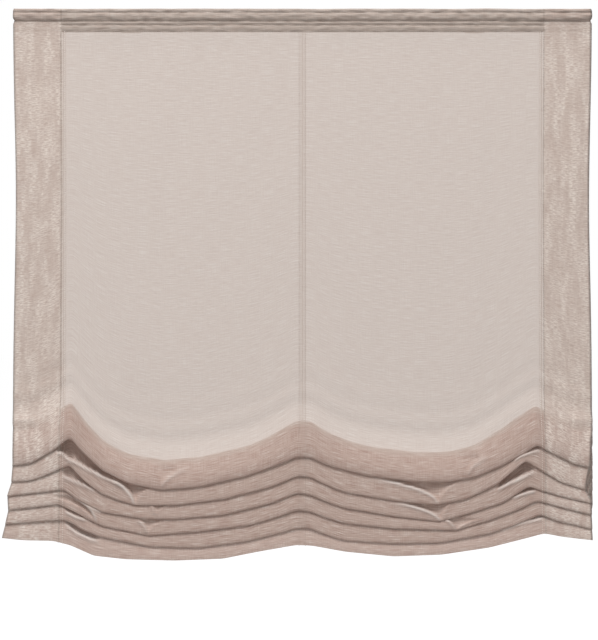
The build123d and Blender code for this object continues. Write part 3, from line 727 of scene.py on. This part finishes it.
# The header (four layers over a tape) has painted shade; its creases break up its seams' painted groove
# shadows
HEADER_SHADE = 0.9
CREASES = ((22.0, 2.2, 1.0), 3.0)
CREASE_SHADE_TONES = ((0.36, "#E6E4E3"), (0.5, "#F8FAFA"), (0.64, "#FFFFFF"))
LINE_LEVELS = ((0.4, 1.0), (0.62, 0.15))
GROOVE_SHADE_TONE = "#ABA5A2"
LINE_CORE = 0.3
LINE_WIDTH = 1.7
# Share of light through the threads, and share of open gaps between them where the weave is thin and thick
THROUGH_THREADS = 0.15
GAP_LEVELS = ((0.35, 0.19), (0.65, 0.13))
CLOTH_FINISH = {"Roughness": 0.72, "Sheen Weight": 0.12, "Specular IOR Level": 0.25}


def woven_tone(tree, weave):
    """Colour of the sheet: the even panel, painted shade on the gathered folds and the first fold, painted
    highlights on the lips.
    """
    shades = add(tree, "ShaderNodeAttribute", attribute_name="shades").outputs["Vector"]
    gathered, lips, first_fold = add(tree, "ShaderNodeSeparateXYZ", {0: shades}).outputs
    tones = {0: gathered, 6: ramp(tree, weave, FLAT_TONES), 7: ramp(tree, weave, FOLD_PAINTED_TONES)}
    tone = add(tree, "ShaderNodeMix", tones, data_type="RGBA").outputs[2]
    tones = {0: first_fold, 6: tone, 7: colour(FIRST_FOLD_SHADE)}
    tone = add(tree, "ShaderNodeMix", tones, data_type="RGBA", blend_type="MULTIPLY").outputs[2]
    lip = add(tree, "ShaderNodeMath", {0: lips, 1: LIP_LIGHT}, operation="MULTIPLY").outputs[0]
    return add(tree, "ShaderNodeMix", {0: lip, 6: tone, 7: colour(LIP_HIGHLIGHT)}, data_type="RGBA").outputs[2]


def header_share(tree, from_top, in_hem):
    """How much of a place is header, whose lower band ends at the side hems."""
    shares = []
    for line in (HEADER_STITCHES[-1], HEADER_STITCHES[0]):
        end = length_at(line + HEADER_TURN)
        span = {0: from_top, 1: end * MM, 2: (end - TONE_BORDER) * MM, 3: 0.0, 4: HEADER_SHADE}
        shares.append(add(tree, "ShaderNodeMapRange", span).outputs[0])
    return add(tree, "ShaderNodeMix", {0: in_hem, 2: shares[0], 3: shares[1]}).outputs[0]


def hem_tone(tree, uv, tone, hem_share, off_middle):
    """A tone with the light dashes of the side hems and a thin line of painted shade at their inner edge."""
    patches = ramp(tree, stretched_noise(tree, uv, *HEM_PATCHES), PATCH_LEVELS)
    dashes = ramp(tree, stretched_noise(tree, uv, *HEM_DASHES), DASH_LEVELS)
    light = add(tree, "ShaderNodeMath", {0: patches, 1: dashes}, operation="MULTIPLY").outputs[0]
    light = add(tree, "ShaderNodeMath", {0: light, 1: hem_share}, operation="MULTIPLY").outputs[0]
    tone = add(tree, "ShaderNodeMix", {0: light, 6: tone, 7: colour(HEM_TONE)}, data_type="RGBA").outputs[2]
    off_edge = from_line(tree, off_middle, (HEM_INNER_EDGE + HEM_EDGE) * MM)
    span = {0: off_edge, 1: HEM_EDGE_CORE * MM, 2: HEM_EDGE * MM, 3: HEM_EDGE_SHADE, 4: 0.0}
    tones = {0: add(tree, "ShaderNodeMapRange", span).outputs[0], 6: tone, 7: colour(HEM_EDGE_PAINTED_SHADE)}
    return add(tree, "ShaderNodeMix", tones, data_type="RGBA").outputs[2]


def header_painted_shade(tree, uv, from_top):
    """Painted shade of the header's puffs and creases, and painted shadow lines in the grooves of its seams.
    """
    crease = stretched_noise(tree, uv, *CREASES)
    lines = 0.0
    for line in HEADER_LINES[1:]:
        span = {0: from_line(tree, from_top, length_at(line) * MM), 1: LINE_CORE * MM, 2: LINE_WIDTH * MM}
        shade = add(tree, "ShaderNodeMapRange", {**span, 3: 1.0, 4: 0.0}).outputs[0]
        lines = add(tree, "ShaderNodeMath", {0: shade, 1: lines}, operation="MAXIMUM").outputs[0]
    drawn = ramp(tree, crease, LINE_LEVELS)
    dashes = add(tree, "ShaderNodeMath", {0: lines, 1: drawn}, operation="MULTIPLY").outputs[0]
    tones = {0: dashes, 6: ramp(tree, crease, CREASE_SHADE_TONES), 7: colour(GROOVE_SHADE_TONE)}
    return add(tree, "ShaderNodeMix", tones, data_type="RGBA").outputs[2]


def sheer_cloth():
    material, tree = new_material("sheer_slub_polyester")
    uv = add(tree, "ShaderNodeUVMap", uv_map="weave").outputs[0]
    across, along, _ = add(tree, "ShaderNodeSeparateXYZ", {0: uv}).outputs
    off_middle, from_top = from_line(tree, across), from_line(tree, along)
    grains = (SLUBS, WARPS, THREADS, CRINKLES)
    slubs, warps, threads, crinkles = [stretched_noise(tree, uv, *grain) for grain in grains]
    weave = add(tree, "ShaderNodeMix", {0: WARP_SHARE, 2: slubs, 3: warps}).outputs[0]
    span = {1: (HEM_INNER_EDGE - TONE_BORDER) * MM, 2: (HEM_INNER_EDGE + TONE_BORDER) * MM}
    in_hem = add(tree, "ShaderNodeMapRange", {0: off_middle, **span}).outputs[0]
    in_header = header_share(tree, from_top, in_hem)
    hem_share = add(tree, "ShaderNodeMath", {0: in_hem, 1: in_header}, operation="SUBTRACT", use_clamp=True)
    tone = hem_tone(tree, uv, woven_tone(tree, weave), hem_share.outputs[0], off_middle)
    tones = {0: in_header, 6: tone, 7: header_painted_shade(tree, uv, from_top)}
    tone = add(tree, "ShaderNodeMix", tones, data_type="RGBA", blend_type="MULTIPLY").outputs[2]
    height = weave
    for grain, share in ((crinkles, CRINKLE_HEIGHT), (threads, THREAD_HEIGHT)):
        sum_of = {0: grain, 1: share, 2: height}
        height = add(tree, "ShaderNodeMath", sum_of, operation="MULTIPLY_ADD").outputs[0]
    relief = {"Height": height, "Strength": WEAVE_BUMP, "Distance": WEAVE_HEIGHT * MM}
    bump = add(tree, "ShaderNodeBump", relief).outputs[0]
    front = add(tree, "ShaderNodeBsdfPrincipled", {"Base Color": tone, "Normal": bump, **CLOTH_FINISH})
    through = add(tree, "ShaderNodeBsdfTranslucent", {"Color": tone, "Normal": bump})
    woven = add(tree, "ShaderNodeMixShader", {0: THROUGH_THREADS, 1: front.outputs[0], 2: through.outputs[0]})
    clear = add(tree, "ShaderNodeBsdfTransparent")
    gaps = ramp(tree, weave, GAP_LEVELS)
    sheer = add(tree, "ShaderNodeMixShader", {0: gaps, 1: woven.outputs[0], 2: clear.outputs[0]})
    finish_material(tree, sheer.outputs[0])
    return material


# Clear polyester ring tape: fine cross ribs, denser along both edges
RIBS = ((30.0, 1.2, 1.0), 2.0)
RIB_TONES = ((0.35, "#B9A396"), (0.65, "#DCCEC3"))
RIB_BUMP = 0.4
RIB_HEIGHT = 0.4
TAPE_MIDDLE = 3.0
TAPE_EDGE = 4.0
MIDDLE_CLEAR = 0.9
EDGE_CLEAR = 0.6
TAPE_ROUGHNESS = 0.6


def woven_tape():
    material, tree = new_material("woven_ring_tape")
    uv = add(tree, "ShaderNodeUVMap", uv_map="weave").outputs[0]
    ribs = stretched_noise(tree, uv, *RIBS)
    off = from_line(tree, add(tree, "ShaderNodeSeparateXYZ", {0: uv}).outputs[0])
    span = {0: off, 1: TAPE_MIDDLE * MM, 2: TAPE_EDGE * MM, 3: MIDDLE_CLEAR, 4: EDGE_CLEAR}
    share = add(tree, "ShaderNodeMapRange", span).outputs[0]
    tone = ramp(tree, ribs, RIB_TONES)
    relief = {"Height": ribs, "Strength": RIB_BUMP, "Distance": RIB_HEIGHT * MM}
    bump = add(tree, "ShaderNodeBump", relief).outputs[0]
    finish = {"Base Color": tone, "Roughness": TAPE_ROUGHNESS, "Normal": bump}
    front = add(tree, "ShaderNodeBsdfPrincipled", finish)
    clear = add(tree, "ShaderNodeBsdfTransparent")
    tape = add(tree, "ShaderNodeMixShader", {0: share, 1: front.outputs[0], 2: clear.outputs[0]})
    finish_material(tree, tape.outputs[0])
    return material


GRAIN_BUMP = 0.3
ROUGH_SPREAD = 0.06


def plain_material(name, dark, light, grain, roughness, metallic=0.0, bump_depth=0.05, **sockets):
    """A finish with a fine grain of two close shades, its grain size and bump in millimetres."""
    material, tree = new_material(name)
    place = add(tree, "ShaderNodeTexCoord").outputs["Object"]
    speckle = stretched_noise(tree, place, grain)
    tone = ramp(tree, speckle, ((0.3, dark), (0.7, light)))
    rough = ramp(tree, speckle, ((0.2, roughness - ROUGH_SPREAD), (0.8, roughness + ROUGH_SPREAD)))
    relief = {"Height": speckle, "Strength": GRAIN_BUMP, "Distance": bump_depth * MM}
    bump = add(tree, "ShaderNodeBump", relief).outputs[0]
    inputs = {"Base Color": tone, "Roughness": rough, "Metallic": metallic, "Normal": bump}
    inputs.update({key.replace("_", " "): value for key, value in sockets.items()})
    finish_material(tree, add(tree, "ShaderNodeBsdfPrincipled", inputs).outputs[0])
    return material


MATERIALS = {
    "sheer_cloth": sheer_cloth(),
    "woven_tape": woven_tape(),
    # Braided polyester cord: pale, with the steps of the braid
    "lift_cord": plain_material(
        "braided_polyester_cord", "#C9C3B8", "#F0ECE4", (0.5, 0.5, 0.9), 0.6, bump_depth=0.3
    ),
    # Nylon hook and loop tape: a matt nap
    "hook_and_loop": plain_material(
        "nylon_hook_tape", "#CFCCC6", "#EDEBE6", (0.9, 0.9, 0.9), 0.85, bump_depth=0.5
    ),
    # White powder coat on extruded aluminium: satin with a faint orange peel
    "rail_paint": plain_material("white_powder_coat", "#E2E1DD", "#ECEBE8", (1.6, 1.6, 1.6), 0.42),
    # Moulded acetal and ABS: matt, nearly even
    "white_plastic": plain_material("white_moulded_plastic", "#DEDDD8", "#E9E8E4", (2.5, 2.5, 2.5), 0.45),
    "grey_plastic": plain_material("grey_moulded_plastic", "#86888A", "#969899", (2.5, 2.5, 2.5), 0.45),
    # Clear moulded rings: low haze
    "clear_plastic": plain_material(
        "clear_moulded_plastic", "#EEF1F0", "#FAFBFB", (3.0, 3.0, 3.0), 0.14,
        Transmission_Weight=0.9, IOR=1.49,
    ),
    # Zinc plated steel: grey metal with a soft spangle
    "bare_steel": plain_material(
        "zinc_plated_steel", "#ADB0B2", "#BFC2C4", (3.0, 3.0, 3.0), 0.36, metallic=1.0
    ),
}
# Spun polyester thread with a soft gloss: pale on the side hems, taupe where it should not show
THREAD_GRAIN = (0.6, 0.6, 0.6)
PALE_THREAD = plain_material("pale_thread", "#D6C9BD", "#F2EBE3", THREAD_GRAIN, 0.5)
TAUPE_THREAD = plain_material("taupe_thread", "#A39287", "#B9A99D", THREAD_GRAIN, 0.6)


def geometry_tree(name, sizes):
    """A node tree with a geometry input, named sizes and a geometry output."""
    tree = bpy.data.node_groups.new(name, "GeometryNodeTree")
    tree.interface.new_socket("Places", in_out="INPUT", socket_type="NodeSocketGeometry")
    for size in sizes:
        tree.interface.new_socket(size, in_out="INPUT", socket_type="NodeSocketFloat")
    tree.interface.new_socket("Pieces", in_out="OUTPUT", socket_type="NodeSocketGeometry")
    return tree, add(tree, "NodeGroupInput")


def finish_tree(tree, instances, material):
    """Ends a tree with real meshes of one material."""
    real = add(tree, "GeometryNodeRealizeInstances", {0: instances})
    painted = add(tree, "GeometryNodeSetMaterial", {"Geometry": real.outputs[0], "Material": material})
    add(tree, "NodeGroupOutput", {0: painted.outputs[0]})


def made_by(tree, obj, sizes):
    """The plain mesh that a tree makes from an object, in that object's place."""
    modifier = obj.modifiers.new("nodes", "NODES")
    modifier.node_group = tree
    for item in tree.interface.items_tree:
        if item.in_out == "INPUT" and item.name in sizes:
            modifier[item.identifier] = sizes[item.name]
    graph = bpy.context.evaluated_depsgraph_get()
    evaluated = obj.evaluated_get(graph)
    mesh = bpy.data.meshes.new_from_object(evaluated, preserve_all_data_layers=True, depsgraph=graph)
    obj.modifiers.clear()
    obj.data = mesh
    return obj


def stitch_tree(thread):
    """Stitches of thread along seam lines, each a slim bead that lies along the seam."""
    tree, sizes = geometry_tree("seam_of_" + thread.name, ("Pitch", "Stitch", "Thread"))
    curve = add(tree, "GeometryNodeMeshToCurve", {"Mesh": sizes.outputs["Places"]})
    spaced = {"Curve": curve.outputs[0], "Length": sizes.outputs["Pitch"]}
    spots = add(tree, "GeometryNodeResampleCurve", spaced, mode="LENGTH")
    facing = add(tree, "GeometryNodeInputNamedAttribute", {"Name": "facing"}, data_type="FLOAT_VECTOR")
    tangent = add(tree, "GeometryNodeInputTangent")
    axes = {"Primary Axis": tangent.outputs[0], "Secondary Axis": facing.outputs[0]}
    turn = add(tree, "FunctionNodeAxesToRotation", axes, primary_axis="X", secondary_axis="Z").outputs[0]
    length, thick = sizes.outputs["Stitch"], sizes.outputs["Thread"]
    scale = add(tree, "ShaderNodeCombineXYZ", {"X": length, "Y": thick, "Z": thick}).outputs[0]
    bead = add(tree, "GeometryNodeMeshIcoSphere", {"Radius": 0.5, "Subdivisions": 1}).outputs[0]
    laid = {"Points": spots.outputs[0], "Instance": bead, "Rotation": turn, "Scale": scale}
    beads = add(tree, "GeometryNodeInstanceOnPoints", laid)
    finish_tree(tree, beads.outputs[0], thread)
    return tree


PALE_STITCHES = stitch_tree(PALE_THREAD)
TAUPE_STITCHES = stitch_tree(TAUPE_THREAD)
STITCH_PITCH = 3.8
STITCH_LENGTH = 2.9
THREAD_WIDTH = 0.7
PALE_WIDTH = 1.0
SEAM_STAND = 0.2


def seam(name, lines, stitches, thread=THREAD_WIDTH):
    """One piece of stitches along lines given as (places, facings)."""
    points, facing, edges = [], [], []
    for places, normals in lines:
        first = len(points)
        points += (places + normals * SEAM_STAND).tolist()
        facing += normals.tolist()
        edges += [(k, k + 1) for k in range(first, len(points) - 1)]
    obj = mesh_object(name, points, edges=edges)
    attribute = obj.data.attributes.new("facing", "FLOAT_VECTOR", "POINT")
    attribute.data.foreach_set("vector", np.array(facing).ravel())
    sizes = {"Pitch": STITCH_PITCH * MM, "Stitch": STITCH_LENGTH * MM, "Thread": thread * MM}
    return made_by(stitches, obj, sizes)


def down_line(across):
    """The sheet's places down one column, below the header."""
    column = column_at(across)
    first = int(np.argmax(DROPS[:, column] > HEADER_STITCHES[-1]))
    return SHEET[first:, column], FACING[first:, column]


def cross_line(length):
    """The sheet's places across the width at a length along the cloth."""
    row = int(np.argmin(abs(LENGTHS - length)))
    return SHEET[row], FACING[row]


TAPE_WIDTH = 10.0
TAPE_STITCH = 3.5
TAPE_COLUMNS = 7


def ring_tape(side, material):
    """Tape sewn down the back of the cloth on one ring line, through all the folds."""
    line = RING_LINES[side]
    first = int(np.argmax(DROPS[:, column_at(line)] > TAPE_TOP))
    across = np.linspace(-TAPE_WIDTH / 2, TAPE_WIDTH / 2, TAPE_COLUMNS)
    wrong_side = SHEET[first:] - FACING[first:] * TAPE_GAP
    column = np.searchsorted(ACROSS, line + across) - 1
    share = ((line + across - ACROSS[column]) / (ACROSS[column + 1] - ACROSS[column]))[None, :, None]
    points = wrong_side[:, column] * (1 - share) + wrong_side[:, column + 1] * share
    faces = grid_faces(len(points), TAPE_COLUMNS, turned=True)
    obj = mesh_object("woven_tape_" + side, points.reshape(-1, 3), faces)
    uv = obj.data.uv_layers.new(name="weave")
    flat = np.stack(np.broadcast_arrays(across[None, :], -LENGTHS[first:, None]), axis=2).reshape(-1, 2)
    corners = np.array([loop.vertex_index for loop in obj.data.loops])
    uv.data.foreach_set("uv", (flat[corners] * MM).ravel())
    obj.data.materials.append(material)
    obj.data.shade_smooth()
    return obj


RING_WIRE = 0.9
RING_SIDES = 32
WIRE_SIDES = 10


def ring_tree(material):
    """A moulded ring at every place, lying level."""
    tree, sizes = geometry_tree("rings_on_tape", ("Ring", "Wire"))
    circle = "GeometryNodeCurvePrimitiveCircle"
    path = add(tree, circle, {"Resolution": RING_SIDES, "Radius": sizes.outputs["Ring"]}).outputs[0]
    wire = add(tree, circle, {"Resolution": WIRE_SIDES, "Radius": sizes.outputs["Wire"]}).outputs[0]
    ring = add(tree, "GeometryNodeCurveToMesh", {"Curve": path, "Profile Curve": wire}).outputs[0]
    rings = add(tree, "GeometryNodeInstanceOnPoints", {"Points": sizes.outputs["Places"], "Instance": ring})
    finish_tree(tree, rings.outputs[0], material)
    return tree


RING_TREE = ring_tree(MATERIALS["clear_plastic"])


def tape_rings(side):
    low, high = box_mm("tape_rings_" + side)
    places = [(RING_LINES[side], CORD_Y, height) for height in ring_heights(side)]
    obj = mesh_object("moulded_rings_" + side, places)
    sizes = {"Ring": ((high[0] - low[0]) / 2 - RING_WIRE) * MM, "Wire": RING_WIRE * MM}
    made_by(RING_TREE, obj, sizes).data.shade_smooth()
    return obj


TURN_SIDES = 28
CORD_SIDES = 8


def winding_tree(material):
    """Turns of cord side by side on a drum, one drum at every place."""
    tree, sizes = geometry_tree("turns_of_cord", ("Drum", "Cord", "Width", "Turns"))
    drum, width, turns = (sizes.outputs[name] for name in ("Drum", "Width", "Turns"))
    helix = {"Resolution": TURN_SIDES, "Rotations": turns, "Height": width}
    helix.update({"Start Radius": drum, "End Radius": drum})
    path = add(tree, "GeometryNodeCurveSpiral", helix).outputs[0]
    round_cord = {"Resolution": CORD_SIDES, "Radius": sizes.outputs["Cord"]}
    wire = add(tree, "GeometryNodeCurvePrimitiveCircle", round_cord).outputs[0]
    swept = {"Curve": path, "Profile Curve": wire, "Fill Caps": True}
    cord = add(tree, "GeometryNodeCurveToMesh", swept).outputs[0]
    along_shaft = {"Points": sizes.outputs["Places"], "Instance": cord, "Rotation": (0, math.pi / 2, 0)}
    laid = add(tree, "GeometryNodeInstanceOnPoints", along_shaft)
    finish_tree(tree, laid.outputs[0], material)
    return tree


WINDING_TREE = winding_tree(MATERIALS["lift_cord"])


def cord_winding(side):
    low, high = box_mm("cord_winding_" + side)
    cord_low, cord_high = box_mm("lift_cord_" + side)
    cord = (cord_high[0] - cord_low[0]) / 2
    middle = (low + high) / 2
    width = high[0] - low[0] - 2 * cord
    obj = mesh_object("cord_turns_" + side, [(low[0] + cord, middle[1], middle[2])])
    sizes = {
        "Drum": ((high[1] - low[1]) / 2 - cord) * MM,
        "Cord": cord * MM,
        "Width": width * MM,
        "Turns": width / (2 * cord),
    }
    made_by(WINDING_TREE, obj, sizes).data.shade_smooth()
    return obj


def place_piece(obj, body, slot, *nodes):
    """Lets a piece ride on a body and stand for its nodes, which it hides; its slot is not used."""
    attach(obj, body)
    if nodes:
        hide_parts(*nodes)
    return obj


# Carried-over pieces take the finish of their slot
for part in frame["record"]["subparts"]:
    node = frame["nodes"][part["node"]]
    node.data.materials.clear()
    node.data.materials.append(MATERIALS[part["material_slot"]])

cloth = place_piece(sewn_cloth(MATERIALS["sheer_cloth"]), HEAD, "sheer_cloth", "fabric_panel")
for side in SIDES:
    tape = ring_tape(side, MATERIALS["woven_tape"])
    place_piece(tape, HEAD, "woven_tape", "ring_tape_" + side)
    line = RING_LINES[side]
    sewn = [down_line(line - TAPE_STITCH), down_line(line + TAPE_STITCH)]
    thread = (TAUPE_STITCHES, THREAD_WIDTH) if side == "center" else (PALE_STITCHES, PALE_WIDTH)
    place_piece(seam("tape_seams_" + side, sewn, *thread), HEAD, "woven_tape")
    if side != "center":
        hem = down_line(math.copysign(HALF_WIDTH - SIDE_HEM + HEM_STITCH, line))
        place_piece(seam("side_seam_" + side, [hem], *thread), HEAD, "woven_tape")
    place_piece(tape_rings(side), HEAD, "clear_plastic", "tape_rings_" + side)
    place_piece(cord_winding(side), DRIVE, "lift_cord", "cord_winding_" + side)
between_hems = slice(column_at(SIDE_HEM - HALF_WIDTH), column_at(HALF_WIDTH - SIDE_HEM) + 1)
header_lines = [cross_line(length_at(HEADER_STITCHES[0]))]
header_lines += [[part[between_hems] for part in cross_line(length_at(line))] for line in HEADER_STITCHES[1:]]
place_piece(seam("header_seams", header_lines, TAUPE_STITCHES), HEAD, "woven_tape")
hem_line = cross_line(LENGTHS[-1] - BOTTOM_HEM + HEM_STITCH)
place_piece(seam("hem_seam", [hem_line], TAUPE_STITCHES), HEAD, "woven_tape")

# Studio: white behind the blind, a pale floor below it and soft light
VIEW_HEIGHT = 1105.3
VIEW_CENTRE = (-6.0, -517.0)
LENS = 100.0
SENSOR = 36.0
FLOOR_DROP = 1250.0
FLOOR_SIZE = 60000.0
FLOOR_GLOW = 0.86
WORLD_LIGHT = 0.53
KEY_PLACE = (-800.0, -2400.0, 4000.0)
KEY_SIZE = 2300.0
KEY_WATTS = 226.0


def white_for_sight(tree):
    """1 where the eye, a mirror or glass looks straight at it, 0 for light that falls on the blind."""
    path = add(tree, "ShaderNodeLightPath")
    seen = path.outputs["Is Camera Ray"]
    for ray in ("Is Glossy Ray", "Is Transmission Ray"):
        seen = add(tree, "ShaderNodeMath", {0: seen, 1: path.outputs[ray]}, operation="MAXIMUM").outputs[0]
    return seen


def studio_world():
    world = bpy.data.worlds.new("studio")
    world.use_nodes = True
    tree = world.node_tree
    tree.nodes.clear()
    white = colour("#FFFFFF")
    light = add(tree, "ShaderNodeBackground", {"Color": white, "Strength": WORLD_LIGHT}).outputs[0]
    sight = add(tree, "ShaderNodeBackground", {"Color": white, "Strength": 1.0}).outputs[0]
    mixed = add(tree, "ShaderNodeMixShader", {0: white_for_sight(tree), 1: light, 2: sight})
    add(tree, "ShaderNodeOutputWorld", {"Surface": mixed.outputs[0]})
    bpy.context.scene.world = world


def pale_floor():
    material, tree = new_material("pale_floor")
    matt = add(tree, "ShaderNodeBsdfDiffuse", {"Color": colour("#A8A8A8")}).outputs[0]
    faint = add(tree, "ShaderNodeBsdfDiffuse", {"Color": colour("#8A8A8A")}).outputs[0]
    glow = add(tree, "ShaderNodeEmission", {"Color": colour("#FFFFFF"), "Strength": FLOOR_GLOW}).outputs[0]
    lit = add(tree, "ShaderNodeAddShader", {0: faint, 1: glow}).outputs[0]
    seen = add(tree, "ShaderNodeMixShader", {0: white_for_sight(tree), 1: matt, 2: lit})
    finish_material(tree, seen.outputs[0])
    half = FLOOR_SIZE / 2
    level = CLOTH_TOP - FLOOR_DROP
    corners = [(-half, -half, level), (half, -half, level), (half, half, level), (-half, half, level)]
    floor = mesh_object("floor", corners, [(0, 1, 2, 3)])
    floor.data.materials.append(material)


def soft_lamp(name, place, size, power):
    """A square soft lamp that looks at the middle of the blind."""
    light = bpy.data.lights.new(name, "AREA")
    light.size = size * MM
    light.energy = power
    lamp = bpy.data.objects.new(name, light)
    bpy.context.scene.collection.objects.link(lamp)
    lamp.location = Vector(place) * MM
    aim = Vector((0, CLOTH_BACK, VIEW_CENTRE[1])) * MM - lamp.location
    lamp.rotation_euler = aim.to_track_quat("-Z", "Y").to_euler()


def front_camera():
    camera = bpy.data.objects.new("camera", bpy.data.cameras.new("camera"))
    bpy.context.scene.collection.objects.link(camera)
    camera.data.lens = LENS
    camera.data.sensor_width = SENSOR
    distance = VIEW_HEIGHT * LENS / SENSOR
    camera.location = Vector((VIEW_CENTRE[0], CLOTH_BACK - distance, VIEW_CENTRE[1])) * MM
    camera.rotation_euler = (math.pi / 2, 0, 0)
    bpy.context.scene.camera = camera


studio_world()
pale_floor()
soft_lamp("key", KEY_PLACE, KEY_SIZE, KEY_WATTS)
front_camera()
bpy.context.scene.view_settings.view_transform = "Standard"
